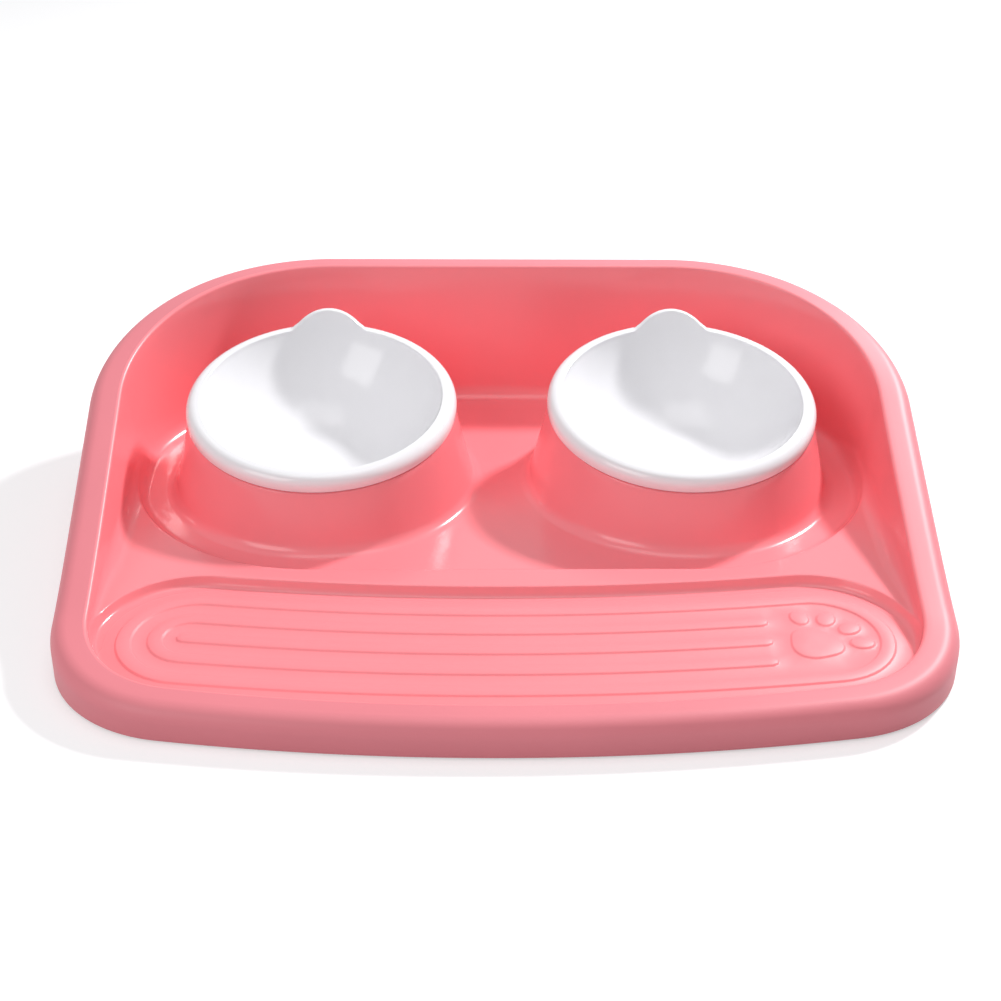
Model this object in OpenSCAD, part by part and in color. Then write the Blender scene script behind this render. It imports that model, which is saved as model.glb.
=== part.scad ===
// Double pet bowl: a moulded tray with a high back, and two bowls that lift out.
// The table is z = 0, x runs along the tray and y from its front to its back.
// The tray's deck is the flat level that the basin and the tread are sunk into.

/* [Tray] */
// Inside width of the tray at deck level, where it is widest
inner_w = 357; // [330:1:420]
// Inside depth of the tray at deck level, on its centre line
inner_d = 284; // [270:1:330]
// Height of the deck above the table
deck_h = 16.7; // [14:0.1:24]
// Wall thickness of the moulding
wall = 2.4; // [1.8:0.1:3]
// Inside radius of the two back corners
back_corner_r = 91.5; // [75:0.5:110]
// Inside radius of the two front corners
front_corner_r = 45.5; // [36:0.5:60]
// Radius of the bowed front edge
front_bow_r = 829; // [600:1:1500]
// How far each side closes in towards the front, in degrees
side_taper = 0.87; // [0:0.01:2]
// Clear height between the skirt and the table
skirt_gap = 1; // [0.5:0.1:2]

/* [Lip] */
// Width of the lip
lip_w = 15.7; // [13:0.1:20]
// Outer rounding of the lip
lip_outer_r = 7.5; // [5:0.1:9]
// Inner rounding of the lip
lip_inner_r = 1.8; // [1:0.1:3]
// Top of the lip above the deck, where the front ease begins
lip_front_rise = -1.3; // [-2:0.1:4]
// Top of the lip above the deck, where the back ease would end
lip_back_rise = 74.5; // [50:0.5:90]
// Where the lip starts to rise, in front of the bowls' centre line
rise_start = 152.5; // [130:0.5:170]
// Where the rise would end, behind the bowls' centre line
rise_end = 108.5; // [90:0.5:130]
// Length over which the rise eases in and out
rise_ease = 19.5; // [8:0.5:30]
// Draft of the inner wall, in degrees
wall_draft = 6; // [2:0.1:10]

/* [Basin] */
// Depth of the basin below the deck
basin_drop = 4.5; // [3:0.1:6]
// Corner radius of the basin's front edge
basin_corner_r = 92; // [80:0.5:100]
// Front edge of the basin, in front of the bowls' centre line
basin_front = 89.5; // [84:0.5:92]

/* [Pedestals] */
// Distance between the two bowls' centres
bowl_spacing = 173.8; // [168:0.1:190]
// Back wall, at deck level, to the centre line of the bowls' rims
bowl_setback = 95.4; // [90:0.1:110]
// Tilt of the bowls towards the front, in degrees
bowl_tilt = 10; // [4:0.5:14]
// Height of the rim's centre above the deck
rim_rise = 42.9; // [40:0.1:60]
// How far the pedestal's own axis lies behind the rim's centre
pedestal_back = 3.2; // [0:0.1:4]
// Radius of the pedestal at its foot
pedestal_foot_r = 73.4; // [70:0.1:78]
// Radius of the pedestal's cone at the level of its shoulder's centre
pedestal_top_r = 63.8; // [63.5:0.1:64.5]
// Fillet round the pedestal's foot
pedestal_fillet_r = 6; // [3:0.1:8]

/* [Bowls] */
// Outer radius of the rim
rim_r = 65; // [64.6:0.1:66]
// Width of the rim, from its outside to the edge of the hollow
rim_w = 7; // [6.6:0.1:8]
// Radius of the rim's outer roll
roll_r = 5; // [4.4:0.1:5.6]
// Rounding of the rim's inner edge
rim_edge_r = 0.7; // [0.4:0.1:1.2]
// Radius of the bowl's round hollow
hollow_r = 64; // [61:0.5:66]
// Depth of the bowl inside
bowl_depth = 35; // [30:0.5:37]
// Wall thickness of the bowl
bowl_wall = 2.2; // [1.8:0.1:2.4]
// Height of the flange that hangs over the pedestal
flange_h = 7.5; // [6:0.1:9]
// Thickness of the flange
flange_t = 1.8; // [1.4:0.1:2]
// Thickness of the rim above the pedestal's collar
rim_t = 3.6; // [3.4:0.1:4]

/* [Thumb tab] */
// Rise of the tab above the rim
tab_rise = 7.8; // [6:0.1:9]
// Radius of the tab's round top
tab_r = 22; // [18:0.5:26]
// Radius of the blends at the tab's sides
tab_blend_r = 13; // [6:0.5:18]

/* [Tread] */
// Depth of the tread below the deck
tread_drop = 4.5; // [3:0.1:6]
// Back edge of the tread at the middle, in front of the bowls' centre line
tread_back = 102.7; // [101:0.1:108]
// Middle line of the ribs, in front of the bowls' centre line
rib_line = 146.6; // [144:0.1:150]
// Bow radius of the ribs' middle line
rib_bow_r = 961; // [700:1:1500]
// Half length between the centres of the ribs' round ends
rib_half_l = 133; // [120:0.5:136]
// Width of a rib
rib_w = 7.2; // [5:0.1:8]
// Distance from one rib to the next
rib_pitch = 14.6; // [13.5:0.1:15]
// Height of the ribs and the paw above the tread
rib_h = 0.8; // [0.4:0.1:1.2]
// Where the inner ribs stop, right of the middle
rib_stop = 110; // [90:0.5:112]

/* [Paw] */
// Centre of the paw's main pad, right of the middle
paw_x = 130.7; // [128:0.1:132]
// Centre of the main pad, in front of the ribs' middle line
paw_front = 4.6; // [4:0.1:6]
// Radius of the main pad
paw_pad_r = 12; // [9:0.1:12.4]
// Distance from the main pad's centre to the toes
paw_toe_reach = 20.1; // [19:0.1:20.6]
// Half width of a toe
paw_toe_w = 4.5; // [3:0.1:4.8]
// Half length of a toe
paw_toe_l = 5.9; // [4:0.1:6.1]
// Turn of the paw to the right, in degrees
paw_turn = 39; // [0:1:50]

/* [Feet] */
// Radius of a rubber foot
foot_r = 6; // [5:0.1:6.4]
// Depth of the socket that holds a foot
foot_socket = 1.8; // [1.2:0.1:2.4]
// Radius of the foot's stem
foot_stem_r = 3.2; // [2.4:0.1:4]
// Length of the foot's stem
foot_stem_l = 4; // [2:0.1:5]
// Wall of the boss round a foot
boss_wall = 1.6; // [1.2:0.1:2]
// Front feet, from the centre line of the bowls' rims
foot_front = 142; // [130:0.5:150]
// Sideways place of the outer front feet
foot_front_x = 140; // [120:0.5:150]
// Clear distance from the back wall to the rear centre foot
foot_back_gap = 14; // [12:0.5:24]

/* [Hidden] */
$fn = 96;

// Clearance between the bowl's flange and the collar, and round the collar
fit_gap = 0.4;
// Small gap under the rim and under the flange, where the bowl rests
seat_gap = 0.25;
// Clearance round a foot in its socket
socket_gap = 0.15;
// How far a cutting shape runs past what it cuts
overrun = 2;
// How far the inner wall runs below the floors as a stiffening rib
wall_foot = 1.5;
// Size of a block that takes away everything above a plane
block_size = 4 * rim_r;

lean = tan(wall_draft);
back_over = lip_w + lip_top(bowl_setback) * lean;
front_over = lip_w + lip_top(bowl_setback - inner_d) * lean;

// Places in the tray's own frame: its box is centred on y = 0
back_y = inner_d / 2 + (front_over - back_over) / 2;
rim_y = back_y - bowl_setback;
front_y = back_y - inner_d;
half_w = inner_w / 2;
floor_under = max(basin_drop, tread_drop) + wall;

// Height of the lip's top above the deck, at y measured from the bowls' centre line
function eased(t) = rise_ease * ln(1 + exp(t / rise_ease));
function lip_top(y) = lip_front_rise + (lip_back_rise - lip_front_rise) / (rise_start + rise_end)
    * (eased(y + rise_start) - eased(y - rise_end));

// The inner wall's plan at deck level: back line, back corner, side, front corner, bow
back_c = [half_w - back_corner_r, back_y - back_corner_r];
bow_c = [0, front_y + front_bow_r];
side_n = [cos(side_taper), -sin(side_taper)];
side_u = [-sin(side_taper), -cos(side_taper)];
corner_from = back_c + (back_corner_r - front_corner_r) * side_n - bow_c;
corner_reach = front_bow_r - front_corner_r;
side_l = -corner_from * side_u
    + sqrt(pow(corner_from * side_u, 2) - corner_from * corner_from + pow(corner_reach, 2));
front_c = bow_c + corner_from + side_l * side_u;
front_a = atan2(front_c[1] - bow_c[1], front_c[0] - bow_c[0]);

// How many stretches each part of half the plan has
back_steps = 3;
back_corner_steps = 15;
side_steps = 13;
front_corner_steps = 11;
bow_steps = 7;

// A plan point and its outward normal
function on_arc(c, r, a) = [c[0] + r * cos(a), c[1] + r * sin(a), cos(a), sin(a)];
function on_side(t) = let (p = back_c + back_corner_r * side_n + t * side_l * side_u)
    [p[0], p[1], side_n[0], side_n[1]];
half_plan = concat(
    [for (i = [0 : back_steps - 1]) [back_c[0] * i / back_steps, back_y, 0, 1]],
    [for (i = [0 : back_corner_steps - 1])
        on_arc(back_c, back_corner_r, 90 - (90 + side_taper) * i / back_corner_steps)],
    [for (i = [0 : side_steps - 1]) on_side(i / side_steps)],
    [for (i = [0 : front_corner_steps - 1])
        on_arc(front_c, front_corner_r, -side_taper + (front_a + side_taper) * i / front_corner_steps)],
    [for (i = [0 : bow_steps]) on_arc(bow_c, front_bow_r, front_a + (-90 - front_a) * i / bow_steps)]);
half_n = len(half_plan);
plan = concat(half_plan,
    [for (i = [half_n - 2 : -1 : 1]) let (p = half_plan[i]) [-p[0], p[1], -p[2], p[3]]]);

// The lip's section as distance outwards from the plan, and height
outer_arc_steps = 6;
inner_arc_steps = 3;
hidden_arc_steps = 4;
function arc_points(c, r, a0, a1, n) = [for (i = [0 : n]) let (a = a0 + (a1 - a0) * i / n)
    [c[0] + r * cos(a), c[1] + r * sin(a)]];
function section(rise) = let (
        top = deck_h + rise,
        inner = rise * lean,
        outer = inner + lip_w,
        low = deck_h - floor_under - wall_foot,
        low_in = (low - deck_h) * lean)
    concat(
        [[outer, skirt_gap]],
        arc_points([outer - lip_outer_r, top - lip_outer_r], lip_outer_r, 0, 90, outer_arc_steps),
        arc_points([inner + lip_inner_r, top - lip_inner_r], lip_inner_r, 90, 180, inner_arc_steps),
        [[low_in, low], [low_in + wall, low]],
        arc_points([inner + wall + lip_inner_r, top - wall - lip_inner_r], lip_inner_r,
            180, 90, inner_arc_steps),
        arc_points([outer - lip_outer_r, top - lip_outer_r], lip_outer_r - wall, 90, 0, hidden_arc_steps),
        [[outer - wall, skirt_gap]]);

// A ring swept round the plan, with one section at each plan point
module lip_ring() {
    rings = [for (p = plan) let (s = section(lip_top(p[1] - rim_y)))
        [for (q = s) [p[0] + p[2] * q[0], p[1] + p[3] * q[0], q[1]]]];
    n = len(plan);
    m = len(rings[0]);
    points = [for (r = rings) each r];
    faces = [for (i = [0 : n - 1], j = [0 : m - 1])
        let (a = i * m + j, b = i * m + (j + 1) % m,
            c = ((i + 1) % n) * m + (j + 1) % m, d = ((i + 1) % n) * m + j)
        each [[a, c, b], [a, d, c]]];
    polyhedron(points = points, faces = faces);
}

// The plan as an outline, spread outwards
module plan_slab(spread, z0, z1) {
    translate([0, 0, z0])
        linear_extrude(z1 - z0)
            polygon([for (p = plan) [p[0] + p[2] * spread, p[1] + p[3] * spread]]);
}

// The basin's outline: a straight front, round front corners, open to the back wall
basin_corner_n = 16;
module basin_slab(spread, z0, z1) {
    r = basin_corner_r + spread;
    cx = bowl_spacing / 2;
    cy = rim_y - basin_front + basin_corner_r;
    back = back_y + lip_w;
    translate([0, 0, z0])
        linear_extrude(z1 - z0)
            polygon(concat(
                [for (i = [0 : basin_corner_n]) let (a = -90 + 90 * i / basin_corner_n)
                    [cx + r * cos(a), cy + r * sin(a)]],
                [[cx + r, back], [-cx - r, back]],
                [for (i = [0 : basin_corner_n]) let (a = 180 + 90 * i / basin_corner_n)
                    [-cx + r * cos(a), cy + r * sin(a)]]));
}

// The tread's outline: a bowed back edge, round back corners, open to the front wall
tread_corner_r = rib_line - tread_back;
tread_corner_n = 12;
rib_a = asin(rib_half_l / rib_bow_r);
rib_c = [0, rim_y - rib_line + rib_bow_r];
rib_end = [rib_half_l, rib_c[1] - rib_bow_r * cos(rib_a)];
long_steps = 12;
module tread_slab(spread, z0, z1) {
    r = tread_corner_r + spread;
    back_r = rib_bow_r - r;
    low = front_y - lip_w;
    right = concat(
        [for (i = [0 : long_steps]) let (a = rib_a * i / long_steps)
            [back_r * sin(a), rib_c[1] - back_r * cos(a)]],
        [for (i = [1 : tread_corner_n]) let (a = 90 + rib_a - (90 + rib_a) * i / tread_corner_n)
            [rib_end[0] + r * cos(a), rib_end[1] + r * sin(a)]],
        [[rib_end[0] + r, low]]);
    n = len(right);
    translate([0, 0, z0])
        linear_extrude(z1 - z0)
            polygon(concat(right, [for (i = [n - 1 : -1 : 1]) [-right[i][0], right[i][1]]]));
}

// A bowed bar with round ends, half its width wide on each side of the ribs' middle line
end_steps = 10;
module bowed_bar(half, z0, z1) {
    right = concat(
        [for (i = [0 : long_steps]) let (a = rib_a * i / long_steps)
            [(rib_bow_r - half) * sin(a), rib_c[1] - (rib_bow_r - half) * cos(a)]],
        [for (i = [1 : end_steps - 1]) let (a = 90 + rib_a - 180 * i / end_steps)
            [rib_end[0] + half * cos(a), rib_end[1] + half * sin(a)]],
        [for (i = [long_steps : -1 : 0]) let (a = rib_a * i / long_steps)
            [(rib_bow_r + half) * sin(a), rib_c[1] - (rib_bow_r + half) * cos(a)]]);
    n = len(right);
    translate([0, 0, z0])
        linear_extrude(z1 - z0)
            polygon(concat(right, [for (i = [n - 2 : -1 : 1]) [-right[i][0], right[i][1]]]));
}

tread_z = deck_h - tread_drop;
basin_z = deck_h - basin_drop;
rib_top = tread_z + rib_h;
rib_root = tread_z - wall / 2;

// A point that lies in front of the ribs' middle line by some distance
function rib_point(x, off) = let (r = rib_bow_r + off)
    [x, rib_c[1] - sqrt(r * r - x * x)];

module ribs() {
    outer_edge = 2 * rib_pitch + rib_w / 2;
    middle_edge = rib_pitch + rib_w / 2;
    difference() {
        bowed_bar(outer_edge, rib_root, rib_top);
        bowed_bar(outer_edge - rib_w, rib_root - overrun, rib_top + overrun);
    }
    difference() {
        union() {
            difference() {
                bowed_bar(middle_edge, rib_root, rib_top);
                bowed_bar(middle_edge - rib_w, rib_root - overrun, rib_top + overrun);
            }
            bowed_bar(rib_w / 2, rib_root, rib_top);
        }
        translate([rib_stop, front_y, rib_root - overrun])
            cube([half_w - rib_stop, inner_d, rib_top - rib_root + 2 * overrun]);
    }
    for (k = [-1 : 1]) {
        p = rib_point(rib_stop, k * rib_pitch);
        translate([p[0], p[1], rib_root])
            cylinder(r = rib_w / 2, h = rib_top - rib_root);
    }
}

// A raised oval with a half width, a half length and a swell in three directions
oval_n = 28;
module oval(half_w, half_l, swell_share) {
    translate([0, 0, rib_root])
        linear_extrude(rib_top - rib_root)
            polygon([for (i = [0 : oval_n - 1])
                let (a = 360 * i / oval_n, swell = 1 + swell_share * sin(3 * a))
                [half_w * swell * cos(a), half_l * swell * sin(a)]]);
}

// Angle from one toe to the next, and the main pad's length and swell
toe_step = 33;
toe_shares = [1.5, 0.5, -0.5, -1.5];
pad_length_share = 0.9;
pad_swell_share = 0.09;
module paw() {
    translate([paw_x, rib_point(paw_x, paw_front)[1], 0])
        rotate([0, 0, -paw_turn]) {
            oval(paw_pad_r, paw_pad_r * pad_length_share, pad_swell_share);
            for (s = toe_shares)
                rotate([0, 0, s * toe_step])
                    translate([0, paw_toe_reach, 0])
                        oval(paw_toe_w, paw_toe_l, 0);
        }
}

// The pedestal's cone, drawn round its own upright axis
cone_h = rim_rise + basin_drop - flange_h - seat_gap;
cone_slope = (pedestal_foot_r - pedestal_top_r) / cone_h;
cone_spare = (pedestal_foot_r + pedestal_back) * tan(bowl_tilt) + overrun;
fillet_n = 8;
cone_top_z = basin_z + cone_h + cone_spare;
function cone_r(z) = pedestal_foot_r - (z - basin_z) * cone_slope;

module cone_solid() {
    fillet_c = [cone_r(basin_z + pedestal_fillet_r) + pedestal_fillet_r, basin_z + pedestal_fillet_r];
    rotate_extrude()
        polygon(concat(
            [[0, basin_z - wall], [fillet_c[0], basin_z - wall]],
            [for (i = [0 : fillet_n]) let (a = -90 - 90 * i / fillet_n)
                [fillet_c[0] + pedestal_fillet_r * cos(a), fillet_c[1] + pedestal_fillet_r * sin(a)]],
            [[cone_r(cone_top_z), cone_top_z], [0, cone_top_z]]));
}

module cone_hollow() {
    low = basin_z - wall - overrun;
    rotate_extrude()
        polygon([[0, low], [cone_r(low) - wall, low],
            [cone_r(cone_top_z) - wall, cone_top_z], [0, cone_top_z]]);
}

// Everything above a plane that lies square to the bowl's axis
module above(level) {
    translate([-block_size / 2, -block_size / 2, level])
        cube([block_size, block_size, block_size]);
}

// Puts a child in a bowl's frame: its axis is z and its rim's centre is the origin
module at_bowl(side) {
    translate([side * bowl_spacing / 2, rim_y, deck_h + rim_rise])
        rotate([bowl_tilt, 0, 0])
            children();
}

module at_pedestal(side) {
    translate([side * bowl_spacing / 2, rim_y + pedestal_back, 0])
        children();
}

flange_in = rim_r - flange_t;
collar_out = flange_in - fit_gap;
collar_in = collar_out - bowl_wall + fit_gap;
collar_top = -rim_t - seat_gap;
shoulder = -flange_h - seat_gap;

module pedestal_outside(side) {
    difference() {
        at_pedestal(side) cone_solid();
        at_bowl(side) above(shoulder);
    }
    at_bowl(side)
        translate([0, 0, shoulder - overrun])
            cylinder(r = collar_out, h = collar_top - shoulder + overrun);
}

module pedestal_inside(side) {
    difference() {
        at_pedestal(side) cone_hollow();
        at_bowl(side) above(shoulder - wall);
    }
    at_bowl(side)
        translate([0, 0, shoulder - wall - overrun])
            cylinder(r = collar_in, h = wall + flange_h + 2 * overrun);
}

// Where the six feet are, and the level of the floor above each
rear_ring = (pedestal_foot_r + back_corner_r) / 2;
rear_turn = 45;
rear_foot = [bowl_spacing / 2 + rear_ring * cos(rear_turn), back_c[1] + rear_ring * sin(rear_turn)];
front_foot_y = rim_y - foot_front;
feet = [
    ["foot_front_left", [-foot_front_x, front_foot_y]],
    ["foot_front_centre", [0, front_foot_y]],
    ["foot_front_right", [foot_front_x, front_foot_y]],
    ["foot_rear_left", [-rear_foot[0], rear_foot[1]]],
    ["foot_rear_centre", [0, back_y - foot_back_gap - foot_r]],
    ["foot_rear_right", rear_foot]];

socket_r = foot_r + socket_gap;
boss_r = socket_r + boss_wall;
bore_r = foot_stem_r + socket_gap;
bore_top = skirt_gap + foot_socket + foot_stem_l + socket_gap;

module boss_outside(place) {
    translate([place[0], place[1], skirt_gap])
        cylinder(r = boss_r, h = min(basin_z, tread_z) - wall / 2 - skirt_gap);
}

module boss_inside(place) {
    translate([place[0], place[1], skirt_gap - overrun])
        cylinder(r = socket_r, h = foot_socket + overrun);
    translate([place[0], place[1], skirt_gap])
        cylinder(r = bore_r, h = bore_top - skirt_gap);
}

module tray() {
    under = deck_h - floor_under;
    color("#f2707c")
        difference() {
            union() {
                difference() {
                    plan_slab(wall / 2, under, deck_h);
                    difference() {
                        plan_slab(lip_w, under - overrun, deck_h - wall);
                        basin_slab(wall, under - 2 * overrun, deck_h);
                        tread_slab(wall, under - 2 * overrun, deck_h);
                    }
                    basin_slab(0, basin_z, deck_h + overrun);
                    tread_slab(0, tread_z, deck_h + overrun);
                }
                lip_ring();
                for (side = [-1, 1]) pedestal_outside(side);
                for (f = feet) boss_outside(f[1]);
                ribs();
                paw();
            }
            for (side = [-1, 1]) pedestal_inside(side);
            for (f = feet) boss_inside(f[1]);
        }
}

// The bowl's hollow is a ball that starts at the rim's inner edge
mouth_r = rim_r - rim_w;
mouth_z = -rim_edge_r;
mouth_a = asin(mouth_r / hollow_r);
hollow_z = mouth_z + hollow_r * cos(mouth_a);
cap_n = 24;
roll_n = 10;
edge_n = 4;

function reversed(list) = [for (i = [len(list) - 1 : -1 : 0]) list[i]];

// Points up the ball of a radius, from a flat bottom to an angle from straight down
function cap_points(r, bottom, a1) = let (a0 = acos((hollow_z - bottom) / r))
    [for (i = [0 : cap_n]) let (a = a0 + (a1 - a0) * i / cap_n) [r * sin(a), hollow_z - r * cos(a)]];

module bowl_shell() {
    groove = -rim_t;
    outer_r = hollow_r + bowl_wall;
    under = -bowl_depth - bowl_wall;
    rotate_extrude()
        polygon(concat(
            [[0, under]],
            cap_points(outer_r, under, acos((hollow_z - groove) / outer_r)),
            [[flange_in, groove], [flange_in, -flange_h], [rim_r, -flange_h]],
            arc_points([rim_r - roll_r, -roll_r], roll_r, 0, 90, roll_n),
            [for (i = [0 : edge_n - 1]) let (a = 90 + 90 * i / edge_n)
                [mouth_r + rim_edge_r + rim_edge_r * cos(a), rim_edge_r * (sin(a) - 1)]],
            reversed(cap_points(hollow_r, -bowl_depth, mouth_a)),
            [[0, -bowl_depth]]));
}

// The tab's outline across the bowl: two blends and a round top
tab_c = tab_rise - tab_r;
tab_half = sqrt(pow(tab_r + tab_blend_r, 2) - pow(tab_blend_r - tab_c, 2));
tab_a = atan2(tab_blend_r - tab_c, tab_half);
tab_n = 16;
blend_n = 8;
module tab_outline() {
    blend = [for (i = [0 : blend_n]) let (a = -90 - (90 - tab_a) * i / blend_n)
        [tab_half + tab_blend_r * cos(a), tab_blend_r + tab_blend_r * sin(a)]];
    polygon(concat(
        [[tab_half, -2 * roll_r]],
        blend,
        [for (i = [1 : tab_n - 1]) let (a = tab_a + (180 - 2 * tab_a) * i / tab_n)
            [tab_r * cos(a), tab_c + tab_r * sin(a)]],
        [for (p = reversed(blend)) [-p[0], p[1]]],
        [[-tab_half, -2 * roll_r]]));
}

// The tab is the inner wall carried on, straight up and outwards, as part of a cone
module thumb_tab() {
    low = mouth_z - roll_r / 2;
    high = tab_rise + overrun;
    inner = mouth_r + (low - mouth_z) / tan(mouth_a);
    outer = mouth_r + (high - mouth_z) / tan(mouth_a);
    across = bowl_wall / sin(mouth_a);
    intersection() {
        rotate([0, 0, 45])
            rotate_extrude(angle = 90)
                polygon([[inner, low], [inner + across, low], [outer + across, high], [outer, high]]);
        rotate([90, 0, 180])
            linear_extrude(2 * rim_r)
                tab_outline();
    }
}

module bowl() {
    color("#f7f7fa")
        union() {
            bowl_shell();
            thumb_tab();
        }
}

module bowl_left() { at_bowl(-1) bowl(); }
module bowl_right() { at_bowl(1) bowl(); }

// A rubber foot: a disc that stands proud of its socket, and a stem that plugs its bore
module foot(i) {
    place = feet[i][1];
    color("#3c3c3f")
        translate([place[0], place[1], 0]) {
            cylinder(r = foot_r, h = skirt_gap + foot_socket);
            cylinder(r = foot_stem_r, h = skirt_gap + foot_socket + foot_stem_l);
        }
}

tray();
bowl_left();
bowl_right();
for (i = [0 : len(feet) - 1])
    foot(i);
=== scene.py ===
"""Double pet bowl: a pink moulded tray with a high back, and two white bowls that lift out."""
import math

import bmesh
import bpy
import numpy as np
from mathutils import Matrix, Vector, geometry, kdtree


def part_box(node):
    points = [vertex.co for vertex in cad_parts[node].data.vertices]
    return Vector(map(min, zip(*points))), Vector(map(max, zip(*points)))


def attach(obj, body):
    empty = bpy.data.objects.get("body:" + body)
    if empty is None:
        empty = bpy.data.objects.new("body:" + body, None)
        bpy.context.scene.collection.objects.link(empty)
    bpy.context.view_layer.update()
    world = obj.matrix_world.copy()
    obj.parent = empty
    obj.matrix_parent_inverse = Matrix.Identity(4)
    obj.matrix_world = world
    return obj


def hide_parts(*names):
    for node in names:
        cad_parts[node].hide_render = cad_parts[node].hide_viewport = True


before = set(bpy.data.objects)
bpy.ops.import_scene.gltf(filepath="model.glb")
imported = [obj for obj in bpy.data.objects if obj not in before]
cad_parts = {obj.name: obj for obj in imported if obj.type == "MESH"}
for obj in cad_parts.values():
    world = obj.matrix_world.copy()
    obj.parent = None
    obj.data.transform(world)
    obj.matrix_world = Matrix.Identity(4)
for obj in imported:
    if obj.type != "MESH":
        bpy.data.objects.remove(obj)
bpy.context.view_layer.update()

# Camera: where the photograph was taken from, worked out from the two bowls' rims and the
# tray's outline. It stands a little left of the middle, in front of the tray, and looks down.
MM = 0.001
camera_spot = (-17.0, -684.6, 417.2)
camera_yaw, camera_pitch, camera_roll = (math.radians(a) for a in (1.32, 29.75, 0.62))
camera_lens = 60.4
level = math.cos(camera_pitch)
ahead = Vector((math.sin(camera_yaw) * level, math.cos(camera_yaw) * level, -math.sin(camera_pitch)))
flat_right = Vector((math.cos(camera_yaw), -math.sin(camera_yaw), 0))
flat_up = flat_right.cross(ahead)
right = math.cos(camera_roll) * flat_right + math.sin(camera_roll) * flat_up
up = math.cos(camera_roll) * flat_up - math.sin(camera_roll) * flat_right
camera_data = bpy.data.cameras.new("camera")
camera_data.lens = camera_lens
camera = bpy.data.objects.new("camera", camera_data)
camera.matrix_world = Matrix.Translation(Vector(camera_spot) * MM) @ Matrix(
    (right, up, -ahead)).transposed().to_4x4()
bpy.context.scene.collection.objects.link(camera)
bpy.context.scene.camera = camera
bpy.context.scene.view_settings.view_transform = "Standard"


# Floor: a wide sheet of matt white card. For the eye it glows a little, so that it is as white
# as in a cut-out photograph, and it still takes the tray's shadow.
def srgb(code):
    """The linear colour of a hex code."""
    parts = (int(code[i:i + 2], 16) / 255 for i in (1, 3, 5))
    return (*((c / 12.92 if c <= 0.04045 else ((c + 0.055) / 1.055) ** 2.4) for c in parts), 1)


def add(tree, kind, inputs=(), **settings):
    """Adds a node with its settings, and links or sets its inputs."""
    made = tree.nodes.new(kind)
    for name, value in settings.items():
        setattr(made, name, value)
    for name, value in dict(inputs).items():
        if isinstance(value, bpy.types.NodeSocket):
            tree.links.new(value, made.inputs[name])
        else:
            made.inputs[name].default_value = value
    return made


def seen_directly(tree):
    """1 for what the eye, a reflection or a clear part sees, and 0 for the light that is shed."""
    path = add(tree, "ShaderNodeLightPath")
    shiny = add(tree, "ShaderNodeMath", {0: path.outputs["Is Glossy Ray"],
        1: path.outputs["Is Transmission Ray"]}, operation="MAXIMUM")
    return add(tree, "ShaderNodeMath", {0: path.outputs["Is Camera Ray"], 1: shiny.outputs[0]},
        operation="MAXIMUM").outputs[0]


def material(name):
    """A new material with an empty node tree, and that tree."""
    made = bpy.data.materials.new(name)
    made.use_nodes = True
    made.node_tree.nodes.clear()
    return made, made.node_tree


floor_size = 8000
floor_white = "#D2D2D4"
floor_glow = 0.46
card, tree = material("matt_white_card")
paper = add(tree, "ShaderNodeBsdfDiffuse", {"Color": srgb(floor_white)})
glow = add(tree, "ShaderNodeMath", {0: seen_directly(tree), 1: floor_glow}, operation="MULTIPLY")
shine = add(tree, "ShaderNodeEmission", {"Strength": glow.outputs[0]})
both = add(tree, "ShaderNodeAddShader", {0: paper.outputs[0], 1: shine.outputs[0]})
add(tree, "ShaderNodeOutputMaterial", {"Surface": both.outputs[0]})
reach = floor_size / 2 * MM
floor_mesh = bpy.data.meshes.new("floor")
floor_mesh.from_pydata([(-reach, -reach, 0), (reach, -reach, 0), (reach, reach, 0), (-reach, reach, 0)],
    [], [(0, 1, 2, 3)])
floor_mesh.materials.append(card)
floor = bpy.data.objects.new("floor", floor_mesh)
bpy.context.scene.collection.objects.link(floor)

# Studio light: a key lamp from the right and behind, which throws the bowls' shadows to the
# front left, large soft boxes overhead and at the front left, and a white room.
room_strength = 0.42
world = bpy.data.worlds.new("white_room")
world.use_nodes = True
world.node_tree.nodes.clear()
tree = world.node_tree
strength = add(tree, "ShaderNodeMapRange", {"Value": seen_directly(tree), "To Min": room_strength,
    "To Max": 1.0})
sky = add(tree, "ShaderNodeBackground", {"Strength": strength.outputs[0]})
add(tree, "ShaderNodeOutputWorld", {"Surface": sky.outputs[0]})
bpy.context.scene.world = world


def lamp(name, towards, distance, width, height, watts):
    """A square lamp that looks at the tray's middle from a direction."""
    data = bpy.data.lights.new(name, "AREA")
    data.shape = "RECTANGLE"
    data.size = width * MM
    data.size_y = height * MM
    data.energy = watts
    made = bpy.data.objects.new(name, data)
    way = Vector(towards).normalized()
    turned = way.to_track_quat("Z", "Y").to_matrix().to_4x4()
    made.matrix_world = Matrix.Translation(way * distance * MM) @ turned
    bpy.context.scene.collection.objects.link(made)


lamp("key", towards=(0.56, 0.49, 0.666), distance=1500, width=130, height=130, watts=20.5)
lamp("overhead", towards=(0, 0.02, 1), distance=1700, width=1000, height=1000, watts=5)
lamp("front_left", towards=(-0.6, -0.6, 0.55), distance=1700, width=900, height=900, watts=7.6)

# Tray: one injection moulding in pink polypropylene. Its floor and inner wall are polished, and its
# lip and tread have a fine texture. These are its plan, its height all round and its floor's levels.
inner_w, inner_d, deck, wall = 357, 284, 16.7, 2.4
back_corner_r, front_corner_r, front_bow_r = 91.5, 45.5, 829
side_taper = math.radians(0.87)
skirt_gap = 1
lip_w, lip_outer_r, lip_inner_r = 15.7, 7.5, 1.8
front_rise, back_rise, rise_start, rise_end, rise_ease = -1.3, 74.5, 152.5, 108.5, 19.5
wall_draft = math.radians(6)
lean = math.tan(wall_draft)
bowl_spacing, bowl_setback = 173.8, 95.4


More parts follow.
